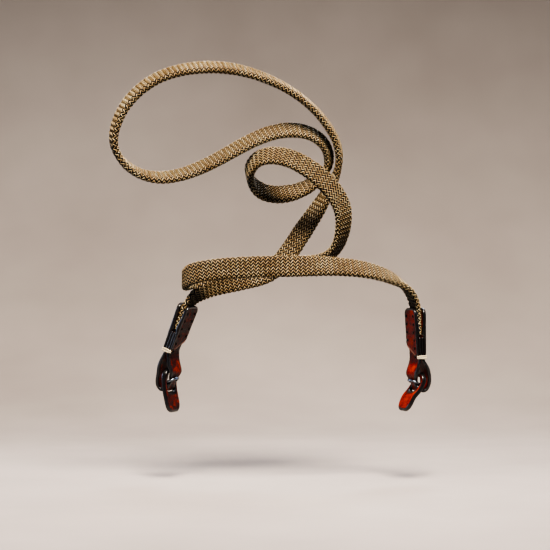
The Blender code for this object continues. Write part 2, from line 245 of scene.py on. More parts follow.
def mesh_object(
    name: str,
    points: Array,
    faces: Faces,
    material: Material,
    coordinates: Array | None = None,
    marks: dict[str, Array] | None = None,
) -> Object:
    """Make a smooth mesh object whose faces point outward.

    Args:
        name: Object name.
        points: Vertex places in millimetres.
        faces: Vertex indices of each face of a closed shape.
        material: Its finish.
        coordinates: UV pair of each vertex.
        marks: Named share of each vertex, from 0 to 1, such as how far its leather is burnished.

    Returns:
        The linked object.
    """
    points = np.asarray(points, float)
    volume = 0.0
    for face in faces:
        for second, third in zip(face[1:-1], face[2:]):
            volume += float(np.dot(points[face[0]], np.cross(points[second], points[third])))
    if volume < 0.0:
        faces = [tuple(reversed(face)) for face in faces]
    mesh = bpy.data.meshes.new(name)
    mesh.from_pydata((points * MM).tolist(), [], [tuple(int(i) for i in face) for face in faces])
    mesh.update()
    mesh.materials.append(material)
    smooth(mesh)
    if coordinates is not None:
        layer = mesh.uv_layers.new(name="UVMap")
        index = np.empty(len(mesh.loops), dtype=np.int32)
        mesh.loops.foreach_get("vertex_index", index)
        layer.data.foreach_set("uv", np.asarray(coordinates, float)[index].ravel())
    for title, values in (marks or {}).items():
        attribute = mesh.attributes.new(title, "FLOAT", "POINT")
        attribute.data.foreach_set("value", np.asarray(values, float))
    return add_object(name, mesh)


def grid_faces(rows: int, around: int, closed: bool = False) -> Faces:
    """Join neighbouring rows of equal closed rings with four-sided faces.

    Args:
        rows: Number of rings.
        around: Points in each ring.
        closed: Whether the last ring joins the first.

    Returns:
        Faces.
    """
    faces: Faces = []
    for row in range(rows if closed else rows - 1):
        here, ahead = row * around, (row + 1) % rows * around
        for corner in range(around):
            beside = (corner + 1) % around
            faces.append((here + corner, here + beside, ahead + beside, ahead + corner))
    return faces


def loft(rings: Array) -> tuple[Array, Faces]:
    """Join equal closed rings to a tube with a cap at each end.

    Args:
        rings: Array of ring, corner and axis.

    Returns:
        Points and faces.
    """
    rings = np.asarray(rings, float)
    count, around = rings.shape[:2]
    faces = grid_faces(count, around)
    faces.append(tuple(reversed(range(around))))
    faces.append(tuple(range((count - 1) * around, count * around)))
    return rings.reshape(-1, 3), faces


def unit(vectors: Array) -> Array:
    """Scale each vector to a length of one."""
    return vectors / np.linalg.norm(vectors, axis=-1, keepdims=True)


def between(stations: Array, knots: Array, values: Array) -> Array:
    """Interpolate each column of values from its knots to the stations."""
    return np.stack([np.interp(stations, knots, column) for column in values.T], axis=1)


def knots_of(points: Array) -> Array:
    """Distances along the straight pieces between points."""
    gaps = np.linalg.norm(np.diff(points, axis=0), axis=1)
    return np.concatenate(([0.0], np.cumsum(gaps)))


def natural_spline(points: Array, stations: Array) -> tuple[Array, Array]:
    """Evaluate the natural cubic through points.

    Args:
        points: Points that the curve passes through.
        stations: Distances along the chords.

    Returns:
        Places and unit directions.
    """
    knots = knots_of(points)
    gaps = np.diff(knots)
    count = len(points)
    slopes = np.diff(points, axis=0) / gaps[:, None]
    matrix = np.eye(count)
    right = np.zeros_like(points)
    for row in range(1, count - 1):
        before, after = gaps[row - 1 : row + 1]
        matrix[row, row - 1 : row + 2] = before, 2.0 * (before + after), after
        right[row] = 6.0 * (slopes[row] - slopes[row - 1])
    bend = np.linalg.solve(matrix, right)
    span = np.clip(np.searchsorted(knots, stations, side="right") - 1, 0, count - 2)
    gap = gaps[span][:, None]
    along = (stations - knots[span])[:, None]
    slope = slopes[span] - gap * (2.0 * bend[span] + bend[span + 1]) / 6.0
    rise = (bend[span + 1] - bend[span]) / (6.0 * gap)
    place = points[span] + along * (slope + along * (bend[span] / 2.0 + along * rise))
    return place, unit(slope + along * (bend[span] + along * 3.0 * rise))


# Finishes


@dataclass(frozen=True)
class YarnFinish:
    """Spun nylon yarn, several strands side by side: soft sheen, and fine lines of painted shade between the
    strands.
    """

    name: str = "spun_yarn"
    light: str = "fff0c6"
    middle: str = "d9b983"
    dark: str = "8c6a3a"
    strands: float = 4.0
    drift_scale: float = 55.0  # Patches about 18 mm long.
    fuzz_scale: float = 2600.0  # Fibres about 0.4 mm apart.

    def build(self) -> Material:
        """Make the material: tones that drift along the band, with painted shade where a float dives at its
        ends, on its flanks, and between its strands.
        """
        material, add, shader = new_material(self.name)
        place = add("ShaderNodeTexCoord").outputs["Object"]
        uv = add("ShaderNodeUVMap", {"uv_map": "UVMap"})
        split = add("ShaderNodeSeparateXYZ", links={0: uv})
        # The tone mark carries random tone plus painted shade: the climbing floats are darker as one family.
        tone = add("ShaderNodeAttribute", {"attribute_name": "tone"}).outputs["Fac"]
        drift = add("ShaderNodeTexNoise", {"Scale": self.drift_scale, "Detail": 3.0}, {"Vector": place})
        patch = add("ShaderNodeMapRange", {1: 0.2, 2: 0.8, 3: 0.38, 4: 0.6}, {0: drift})
        mix = add("ShaderNodeMath", {"operation": "MULTIPLY_ADD", 1: 0.3}, {0: tone, 2: patch})
        stops = ((0.38, self.dark), (0.62, self.middle), (0.85, self.light))
        shade = add("ShaderNodeValToRGB", {"stops": stops}, {0: mix})
        # Painted shade, multiplied into the colour: dark lines between the strands, dark ends where a float
        # dives under, and dark flanks where it turns away from the light.
        turns = {"operation": "MULTIPLY", 1: self.strands * FULL_TURN}
        lines = add("ShaderNodeMath", turns, {0: split.outputs[1]})
        wave = add("ShaderNodeMath", {"operation": "SINE"}, {0: lines})
        gap = add("ShaderNodeMapRange", {1: -1.0, 2: 0.2, 3: 0.55, 4: 1.0}, {0: wave})
        ends = add("ShaderNodeMath", {"operation": "PINGPONG", 1: 0.5}, {0: split})
        buried = add("ShaderNodeMapRange", {1: 0.02, 2: 0.2, 3: 0.02, 4: 1.0}, {0: ends})
        across = add("ShaderNodeMath", {"operation": "PINGPONG", 1: 0.5}, {0: split.outputs[1]})
        flank_shade = add("ShaderNodeMapRange", {1: 0.16, 2: 0.47, 3: 0.04, 4: 1.0}, {0: across})
        dive_and_flank_shade = add("ShaderNodeMath", {"operation": "MULTIPLY"}, {0: flank_shade, 1: buried})
        depth = add("ShaderNodeMath", {"operation": "MULTIPLY"}, {0: gap, 1: dive_and_flank_shade})
        multiply = {"data_type": "RGBA", "blend_type": "MULTIPLY", 0: 1.0}
        with_painted_shade = add("ShaderNodeMix", multiply, {6: shade, 7: depth})
        fuzz = add("ShaderNodeTexNoise", {"Scale": self.fuzz_scale, "Detail": 2.0}, {"Vector": place})
        height = add("ShaderNodeMath", {"operation": "MULTIPLY_ADD", 1: 0.35}, {0: fuzz, 2: wave})
        bump = add("ShaderNodeBump", {"Strength": 0.45, "Distance": 0.00008}, {"Height": height})
        gloss = {"Roughness": 0.42, "Specular IOR Level": 0.25}
        sheen = {"Sheen Weight": 0.08, "Sheen Roughness": 0.4, "Sheen Tint": srgb("e8d3a4")}
        feed(shader, gloss | sheen, {"Base Color": with_painted_shade.outputs[2], "Normal": bump})
        return material


@dataclass(frozen=True)
class GroundFinish:
    """Inner yarns of the braid, seen only in the gaps between the floats: coloured near black as painted
    shade.
    """

    name: str = "inner_yarn"
    # Near-black tones: painted shade for the gaps between the floats.
    light: str = "1a1007"
    dark: str = "080401"
    thread_mm: float = 0.5

    def build(self) -> Material:
        """Make the material: fine lines a thread apart."""
        material, add, shader = new_material(self.name)
        uv = add("ShaderNodeUVMap", {"uv_map": "UVMap"})
        pattern = {"Scale": 0.5 / self.thread_mm, "Distortion": 1.5, "Detail": 2.0}
        lines = add("ShaderNodeTexWave", pattern, {"Vector": uv}).outputs["Fac"]
        shade = add("ShaderNodeValToRGB", {"stops": ((0.2, self.dark), (0.9, self.light))}, {0: lines})
        bump = add("ShaderNodeBump", {"Strength": 0.5, "Distance": 0.0001}, {"Height": lines})
        feed(shader, {"Roughness": 0.85}, {"Base Color": shade, "Normal": bump})
        return material


@dataclass(frozen=True)
class LeatherFinish:
    """Vegetable-tanned leather, waxed on its face and burnished dark along its cut edges."""

    name: str = "tanned_leather"
    bright: str = "c03a08"
    middle: str = "7d1a06"
    deep: str = "2c0804"
    burnish: str = "0e0c0d"
    # Pale skived cut: partly raw leather, partly a painted highlight along that edge.
    raw: str = "d08a70"
    deep_share: float = 0.4
    bright_share: float = 0.69
    pore_mm: float = 0.55
    mottle_scale: float = 230.0  # Blotches about 4 mm across.
    ragged_scale: float = 900.0  # Dye bleeds in about every 1 mm.

    def build(self) -> Material:
        """Make the material: mottled dye and pores, darker along the grain's creases, with the burnished-edge
        mark and the raw-cut mark on top; the raw-cut mark paints the skived cut pale, partly raw leather and
        partly a painted highlight.
        """
        material, add, shader = new_material(self.name)
        where = add("ShaderNodeTexCoord").outputs["Object"]
        cloud = {"Scale": self.mottle_scale, "Detail": 7.0, "Roughness": 0.72, "Distortion": 0.5}
        mottle = add("ShaderNodeTexNoise", cloud, {"Vector": where})
        stops = ((self.deep_share, self.deep), (0.53, self.middle), (self.bright_share, self.bright))
        shade = add("ShaderNodeValToRGB", {"stops": stops}, {0: mottle})
        cells = {"Scale": 1000.0 / self.pore_mm, "feature": "DISTANCE_TO_EDGE"}
        pores = add("ShaderNodeTexVoronoi", cells, {"Vector": where}).outputs["Distance"]
        crease = add("ShaderNodeMapRange", {1: 0.0, 2: 0.22, 3: 0.0, 4: 1.0}, {0: pores})
        # Colour darkened along the creases of the grain.
        crease_darkening = add("ShaderNodeMapRange", {1: 0.0, 2: 0.12, 3: 0.72, 4: 1.0}, {0: pores})
        multiply = {"data_type": "RGBA", "blend_type": "MULTIPLY", 0: 1.0}
        darker_in_creases = add("ShaderNodeMix", multiply, {6: shade, 7: crease_darkening})
        edge = add("ShaderNodeAttribute", {"attribute_name": "edge"}).outputs["Fac"]
        ragged = add("ShaderNodeTexNoise", {"Scale": self.ragged_scale, "Detail": 3.0}, {"Vector": where})
        spread = add("ShaderNodeMath", {"operation": "MULTIPLY_ADD", 1: 0.35}, {0: ragged, 2: edge})
        dark = add("ShaderNodeMapRange", {1: 0.5, 2: 0.85, 3: 0.0, 4: 1.0}, {0: spread})
        burnish = {"data_type": "RGBA", 7: srgb(self.burnish)}
        tint = add("ShaderNodeMix", burnish, {0: dark, 6: darker_in_creases.outputs[2]})
        # The skived cut painted pale: partly raw leather, partly painted highlight.
        cut = add("ShaderNodeAttribute", {"attribute_name": "raw"}).outputs["Fac"]
        raw = {"data_type": "RGBA", 7: srgb(self.raw)}
        with_raw_and_highlight = add("ShaderNodeMix", raw, {0: cut, 6: tint.outputs[2]})
        rough = add("ShaderNodeMapRange", {1: 0.3, 2: 0.75, 3: 0.36, 4: 0.55}, {0: mottle})
        grain = add("ShaderNodeMath", {"operation": "MULTIPLY_ADD", 1: 0.5}, {0: mottle, 2: crease})
        bump = add("ShaderNodeBump", {"Strength": 0.35, "Distance": 0.00012}, {"Height": grain})
        polish = add("ShaderNodeMapRange", {1: 0.5, 2: 0.85, 3: 0.0, 4: 0.7}, {0: spread})
        gloss = {"Coat Roughness": 0.14, "Specular IOR Level": 0.18}
        colour = {"Base Color": with_raw_and_highlight.outputs[2], "Roughness": rough}
        feed(shader, gloss, colour | {"Normal": bump, "Coat Weight": polish})
        return material


@dataclass(frozen=True)
class ThreadFinish:
    """Waxed sewing thread, two plies twisted together: its twist shows as slanting ridges."""

    name: str = "waxed_thread"
    light: str = "f4e9d0"
    shade: str = "a3855a"
    twists: float = 14.0

    def build(self) -> Material:
        """Make the material: ridges that wind round the thread."""
        material, add, shader = new_material(self.name)
        uv = add("ShaderNodeUVMap", {"uv_map": "UVMap"})
        split = add("ShaderNodeSeparateXYZ", links={0: uv})
        winding = {"operation": "MULTIPLY_ADD", 1: self.twists}
        slant = add("ShaderNodeMath", winding, {0: split, 2: split.outputs[1]})
        turn = add("ShaderNodeMath", {"operation": "MULTIPLY", 1: FULL_TURN}, {0: slant})
        wave = add("ShaderNodeMath", {"operation": "SINE"}, {0: turn})
        ply = add("ShaderNodeMapRange", {1: -1.0, 2: 0.6, 3: 0.0, 4: 1.0}, {0: wave})
        tone = add("ShaderNodeValToRGB", {"stops": ((0.0, self.shade), (0.7, self.light))}, {0: ply})
        bump = add("ShaderNodeBump", {"Strength": 0.7, "Distance": 0.00015}, {"Height": wave})
        gloss = {"Roughness": 0.55, "Specular IOR Level": 0.2}
        feed(shader, gloss, {"Base Color": tone, "Normal": bump})
        return material


@dataclass(frozen=True)
class SteelFinish:
    """Stainless wire, polished in a tumbler, with faint scratches; its base colour is darkened as painted
    shade.
    """

    name: str = "tumbled_steel"
    # Darker than bare steel: painted shade for a ring that sits inside the leather loop.
    colour: str = "6b747e"
    scratch_scale: float = 1400.0  # Scratches about 0.7 mm apart.

    def build(self) -> Material:
        """Make the material: metal whose roughness follows its scratches."""
        material, add, shader = new_material(self.name)
        place = add("ShaderNodeTexCoord").outputs["Object"]
        marks = {"Scale": self.scratch_scale, "Detail": 4.0, "Distortion": 2.0}
        scratch = add("ShaderNodeTexNoise", marks, {"Vector": place})
        rough = add("ShaderNodeMapRange", {1: 0.3, 2: 0.7, 3: 0.14, 4: 0.34}, {0: scratch})
        bump = add("ShaderNodeBump", {"Strength": 0.15, "Distance": 0.00002}, {"Height": scratch})
        metal = {"Base Color": srgb(self.colour), "Metallic": 1.0}
        feed(shader, metal, {"Roughness": rough, "Normal": bump})
        return material


@dataclass(frozen=True)
class PlasterFinish:
    """Pale plain floor and its sweep behind the strap."""

    name: str = "pale_plaster"
    light: str = "b0a7a1"
    dark: str = "a09791"
    cloud_scale: float = 3.0  # Clouds about 0.3 m wide.

    def build(self) -> Material:
        """Make the material: two pale tones in wide clouds."""
        material, add, shader = new_material(self.name)
        place = add("ShaderNodeTexCoord").outputs["Object"]
        clouds = {"Scale": self.cloud_scale, "Detail": 4.0, "Roughness": 0.6}
        cloud = add("ShaderNodeTexNoise", clouds, {"Vector": place})
        shade = add("ShaderNodeValToRGB", {"stops": ((0.35, self.dark), (0.65, self.light))}, {0: cloud})
        feed(shader, {"Roughness": 0.9}, {"Base Color": shade})
        return material


# Band


@dataclass
class BandRoute:
    """Centre line of the band with the direction its width points in, in millimetres."""

    width_turn: float = 13.0
    step: float = 0.5
    rows: Rows = (
        (-59.5, -4.0, 51.5, -0.44, -0.86, 0.20), (-52.0, 0.0, 56.5, -0.40, -0.60, 0.70),
        (-42.0, 5.0, 59.5, -0.15, -0.25, 0.95), (-28.5, 9.0, 62.5, -0.20, 0.10, 0.95),
        (-14.0, 11.0, 67.0, -0.35, 0.45, 0.80), (-3.5, 12.0, 77.5, -0.60, 0.40, 0.70),
        (6.5, 13.0, 92.5, -0.75, 0.45, 0.45), (14.5, 14.0, 104.5, -0.65, 0.65, 0.30),
        (21.5, 14.0, 116.0, -0.35, 0.90, 0.20), (27.5, 11.5, 130.0, 0.00, 1.00, 0.05),
        (27.0, 7.5, 143.5, 0.15, 1.00, 0.08), (20.0, 3.0, 156.5, 0.10, 1.00, 0.20),
        (6.5, -4.0, 170.0, 0.00, 0.93, 0.25), (-14.0, -12.0, 181.5, -0.10, 0.93, 0.38),
        (-36.5, -19.0, 187.5, -0.10, 0.88, 0.46), (-58.0, -24.0, 187.5, -0.15, 0.88, 0.46),
        (-78.5, -28.0, 182.0, -0.25, 0.88, 0.40), (-94.5, -30.0, 170.5, -0.35, 0.90, 0.30),
        (-104.0, -30.0, 155.5, -0.33, 0.93, 0.15), (-106.0, -28.0, 141.5, -0.18, 0.95, 0.05),
        (-98.5, -24.0, 129.5, 0.00, 0.96, 0.20), (-82.5, -19.0, 123.0, -0.05, 0.90, 0.42),
        (-62.0, -14.0, 126.5, -0.15, 0.85, 0.50), (-40.5, -9.0, 137.0, -0.20, 0.82, 0.55),
        (-20.0, -4.0, 148.0, -0.20, 0.78, 0.60), (-0.5, 1.0, 152.5, -0.05, 0.75, 0.66),
        (14.5, 6.0, 148.5, 0.25, 0.85, 0.45), (21.5, 11.5, 139.5, 0.30, 0.93, 0.18),
        (20.5, 15.0, 129.0, 0.20, 0.95, 0.10), (11.5, 17.0, 120.5, -0.15, 0.80, 0.55),
        (-4.5, 16.0, 114.5, -0.05, 0.60, 0.80), (-20.0, 9.0, 116.5, 0.05, 0.62, 0.78),
        (-26.5, 0.0, 125.5, -0.20, 0.75, 0.65), (-21.0, -8.0, 134.5, -0.15, 0.70, 0.70),
        (-5.5, -12.0, 135.5, 0.05, 0.55, 0.82), (8.5, -13.0, 129.0, 0.40, 0.45, 0.79),
        (22.0, -10.0, 117.5, 0.62, 0.40, 0.67), (29.5, -5.0, 105.0, 0.75, 0.55, 0.35),
        (30.0, 1.0, 92.0, 0.65, 0.75, 0.10), (25.0, 8.0, 79.5, 0.40, 0.90, -0.10),
        (13.0, 15.0, 73.0, 0.10, 0.85, -0.50), (-5.0, 20.0, 71.0, 0.00, 0.50, -0.85),
        (-26.5, 22.0, 69.0, 0.00, 0.15, -1.00), (-48.0, 18.0, 66.0, 0.00, 0.00, -1.00),
        (-60.5, 9.0, 63.0, 0.00, 0.00, -1.00), (-65.0, -4.0, 62.0, 0.00, 0.00, -1.00),
        (-60.0, -17.0, 65.5, 0.00, 0.00, -1.00), (-46.5, -23.0, 68.0, 0.00, 0.00, -1.00),
        (-26.0, -25.0, 69.5, 0.00, 0.00, -1.00), (-2.0, -25.0, 70.0, 0.00, -0.15, -1.00),
        (21.5, -22.0, 70.0, 0.00, -0.55, -0.85), (42.5, -16.0, 68.0, 0.00, -0.72, -0.70),
        (59.0, -9.0, 63.0, 0.15, -0.85, -0.55), (69.0, -4.0, 56.0, 0.30, -0.95, -0.10),
    )

    def frames(self, ends: tuple[LeatherEnd, LeatherEnd]) -> dict[str, Array]:
        """Sample the route.

        Args:
            ends: The left and right leather ends, in which the band is buried.

        Returns:
            Distances, centres, width directions and thickness directions.
        """
        left, right = ends
        table = np.array(self.rows)
        first = [left.stack_point(0.0, height) for height in left.buried]
        last = [right.stack_point(0.0, height) for height in reversed(right.buried)]
        points = np.vstack([first, table[:, :3], last])
        hints = unit(np.vstack([[left.near] * len(first), table[:, 3:], [right.near] * len(last)]))
        knots = knots_of(points)
        fine = np.linspace(0.0, knots[-1], int(knots[-1]) + 1)
        reach = int(self.width_turn / 2.0)
        window = np.hanning(2 * reach + 1)
        window /= window.sum()
        padded = np.pad(between(fine, knots, hints), ((reach, reach), (0, 0)), mode="edge")
        width = np.stack([np.convolve(column, window, mode="valid") for column in padded.T], axis=1)
        stations = np.linspace(0.0, knots[-1], int(round(knots[-1] / self.step)) + 1)
        centre, direction = natural_spline(points, stations)
        width = between(stations, fine, width)
        width = unit(width - direction * np.sum(width * direction, axis=1)[:, None])
        through = np.cross(direction, width)
        return {"station": knots_of(centre), "centre": centre, "width": width, "through": through}


@dataclass
class WovenBand:
    """Flat tubular braid: a ground coloured near black as painted shade, with rings of slanting floats that
    join to zigzag rows.
    """

    width: float = 13.0
    thickness: float = 4.2
    pinched: float = 3.1
    swell: float = 16.0
    buried: float = 16.5
    relief: float = 0.5
    ground_around: int = 28
    ground_step: float = 2.0
    ground_girth: float = 31.0
    rows_around: int = 14
    round_pitch: float = 2.9
    float_width: float = 0.52
    float_height: float = 0.42
    float_reach: float = 1.2
    float_bias: float = 0.12
    float_lift: float = 0.1
    float_dive: float = 0.55
    float_turn: float = 0.06
    lengths: int = 4
    seed: int = 7

    def half_thickness(self, station: Array, total: float) -> Array:
        """Half the ground's thickness, which grows from the buried ends to the free band.

        Args:
            station: Distances along the band.
            total: Its length.

        Returns:
            Half the thickness at each distance.
        """
        free = np.minimum(station, total - station) - self.buried
        inward = np.clip(free / self.swell, 0.0, 1.0)
        blend = inward**2 * (3.0 - 2.0 * inward)
        return (self.pinched + (self.thickness - self.pinched) * blend) / 2.0 - self.relief

    def place(self, route: dict[str, Array], flat: Array) -> Array:
        """Wrap flat points round the band.

        Args:
            route: Sampled route.
            flat: Distance along, share of the way round, and height over the ground.

        Returns:
            Places in millimetres.
        """
        station = route["station"]
        total = float(station[-1])
        along = np.clip(flat[:, 0], 0.0, total)
        names = ("centre", "width", "through")
        centre, width, through = (between(along, station, route[name]) for name in names)
        radius = self.half_thickness(along, total)
        run = 2.0 * (self.width / 2.0 - self.relief - radius)
        arc = math.pi * radius
        walk = np.mod(flat[:, 1], 1.0) * 2.0 * (run + arc)
        hub = run / 2.0 - np.clip(walk, 0.0, run) + np.clip(walk - run - arc, 0.0, run)
        bend = np.clip(walk - run, 0.0, arc) + np.clip(walk - 2.0 * run - arc, 0.0, arc)
        angle = math.pi / 2.0 + bend / radius
        reach = radius + flat[:, 2]
        across = hub + np.cos(angle) * reach
        return centre + width * across[:, None] + through * (np.sin(angle) * reach)[:, None]

    def ground(self, route: dict[str, Array], finish: Material) -> Object:
        """Build the ground tube, whose near-black finish is painted shade.

        Args:
            route: Sampled route.
            finish: Its material.

        Returns:
            The tube.
        """
        around = self.ground_around
        total = float(route["station"][-1])
        stations = np.linspace(0.0, total, int(total / self.ground_step))
        shares = np.tile(np.arange(around) / around, len(stations))
        flat = np.stack([np.repeat(stations, around), shares, np.zeros(len(shares))], axis=1)
        points, faces = loft(self.place(route, flat).reshape(len(stations), around, 3))
        coordinates = flat[:, :2] * (1.0, self.ground_girth)
        return mesh_object("strap_ground", points, faces, finish, coordinates)

    def float_mesh(self, slant: float, finish: Material) -> Object:
        """Model one float of yarn on the flat, bowed over the crossing yarns and diving at its ends.

        Args:
            slant: One for a float that climbs along the band, minus one for its partner.
            finish: Its material.

        Returns:
            The float, centred at the origin.
        """
        run = np.array([self.round_pitch / 4.0, slant * self.girth_pitch() / 2.0])
        side = unit(np.array([-run[1], run[0]]))
        shares = np.array([-1.0, -0.86, -0.55, 0.0, 0.55, 0.86, 1.0])
        corners = np.radians(np.array([-20.0, 38.0, 90.0, 142.0, 200.0]))
        points, coordinates = [], []
        for share in shares:
            slim = math.sqrt(max(0.05, 1.0 - 0.8 * abs(share) ** 4))
            middle = run * share * (self.float_reach - slant * self.float_bias)
            bow = slant * self.float_bias * (1.0 - share**2)
            lift = self.float_lift - bow - self.float_dive * share**8
            for index, angle in enumerate(corners):
                spread = middle + side * math.cos(angle) * self.float_width / 2.0 * slim
                points.append((*spread, lift + math.sin(angle) * self.float_height * slim))
                coordinates.append(((share + 1.0) / 2.0, index / (len(corners) - 1)))
        points, faces = loft(np.reshape(points, (len(shares), len(corners), 3)))
        return mesh_object("float_source", points / MM, faces, finish, np.array(coordinates))

    def girth_pitch(self) -> float:
        """Work out the spacing of the zigzag rows.

        Returns:
            Distance between neighbouring rows round the band.
        """
        radius = self.thickness / 2.0 - self.relief
        run = self.width / 2.0 - self.relief - radius
        return (4.0 * run + FULL_TURN * radius) / self.rows_around

    def weave_tree(self) -> NodeTree:
        """Build the tree that lays both sets of floats on a flat lattice.

        Returns:
            The geometry tree.
        """
        sizes = {"Rounds": "Int", "Rows": "Int", "Round Pitch": "Float", "Row Pitch": "Float"}
        sources = {"Climbing Float": "Object", "Falling Float": "Object"}
        tree, add, inputs = new_tree("weave_floats", sizes | sources | {"Yarn": "Material", "Seed": "Int"})
        spans, halves = [], []
        for count, pitch in (("Rounds", "Round Pitch"), ("Rows", "Row Pitch")):
            steps = add("ShaderNodeMath", {"operation": "SUBTRACT", 1: 1.0}, {0: inputs[count]})
            spans.append(add("ShaderNodeMath", {"operation": "MULTIPLY"}, {0: steps, 1: inputs[pitch]}))
            halves.append(add("ShaderNodeMath", {"operation": "MULTIPLY", 1: 0.5}, {0: spans[-1]}))
        counts = {"Vertices X": inputs["Rounds"], "Vertices Y": inputs["Rows"]}
        grid = add("GeometryNodeMeshGrid", links={"Size X": spans[0], "Size Y": spans[1]} | counts)
        joined = add("GeometryNodeJoinGeometry")
        seed = {"Seed": inputs["Seed"]}
        turns = {"data_type": "FLOAT_VECTOR", 0: (0.0, 0.0, -self.float_turn), 1: (0.0, 0.0, self.float_turn)}
        for order, name in enumerate(sources):
            quarter = {"operation": "MULTIPLY_ADD", 1: 0.25 + 0.5 * order}
            offset = add("ShaderNodeMath", quarter, {0: inputs["Round Pitch"], 2: halves[0]})
            shift = add("ShaderNodeCombineXYZ", links={0: offset, 1: halves[1]})
            moved = add("GeometryNodeTransform", links={"Geometry": grid, "Translation": shift})
            source = add("GeometryNodeObjectInfo", links={"Object": inputs[name]}).outputs["Geometry"]
            turn = add("FunctionNodeRandomValue", turns, seed)
            laid = {"Points": moved, "Instance": source, "Rotation": turn}
            placed = add("GeometryNodeInstanceOnPoints", links=laid)
            # Random tone with painted shade: climbing floats draw from the darker range, falling floats from
            # the lighter one.
            tone_and_shade_ranges = {"data_type": "FLOAT", 2: 0.45 * order, 3: 0.55 + 0.45 * order}
            tone = add("FunctionNodeRandomValue", tone_and_shade_ranges, seed).outputs[1]
            store = {"data_type": "FLOAT", "domain": "INSTANCE", "Name": "tone"}
            stored = add("GeometryNodeStoreNamedAttribute", store, {"Geometry": placed, "Value": tone})
            feed(joined, links={0: stored})
        end_tree(add, joined, inputs["Yarn"])
        return tree

    def floats(self, route: dict[str, Array], finish: Material) -> list[Object]:
        """Lay the floats on the flat, then wrap each length of them round the band.

        Args:
            route: Sampled route.
            finish: The yarn's material.

        Returns:
            One piece for each length.
        """
        total = float(route["station"][-1])
        rounds = int(total / self.round_pitch / self.lengths)
        pitch = total / (rounds * self.lengths)
        climbing, falling = (self.float_mesh(slant, finish) for slant in (1.0, -1.0))
        tree = self.weave_tree()
        row_pitch = self.girth_pitch()
        values = {
            "Rounds": rounds,
            "Rows": self.rows_around,
            "Round Pitch": pitch,
            "Row Pitch": row_pitch,
            "Climbing Float": climbing,
            "Falling Float": falling,
            "Yarn": finish,
        }
        pieces = []
        for part in range(self.lengths):
            mesh = run_tree(f"strap_weave_{part + 1}", tree, values | {"Seed": self.seed + part})
            flat = vertex_places(mesh)
            flat[:, 0] += part * rounds * pitch
            flat[:, 1] = flat[:, 1] / (row_pitch * self.rows_around)
            mesh.vertices.foreach_set("co", (self.place(route, flat) * MM).ravel())
            smooth(mesh)
            mesh.update()
            pieces.append(add_object(mesh.name, mesh))
            log.info("%s: %d faces", mesh.name, len(mesh.polygons))
        for source in (climbing, falling):
            bpy.data.objects.remove(source, do_unlink=True)
        return pieces

    def build(self, ends: tuple[LeatherEnd, LeatherEnd]) -> None:
        """Args:
            ends: The left and right leather ends, in which it is buried.
        """
        route = BandRoute().frames(ends)
        ground = self.ground(route, GroundFinish().build())
        weave = self.floats(route, YarnFinish().build())
        dress(ground, "strap_braid")
        for piece in weave:
            dress(piece)


# Leather ends


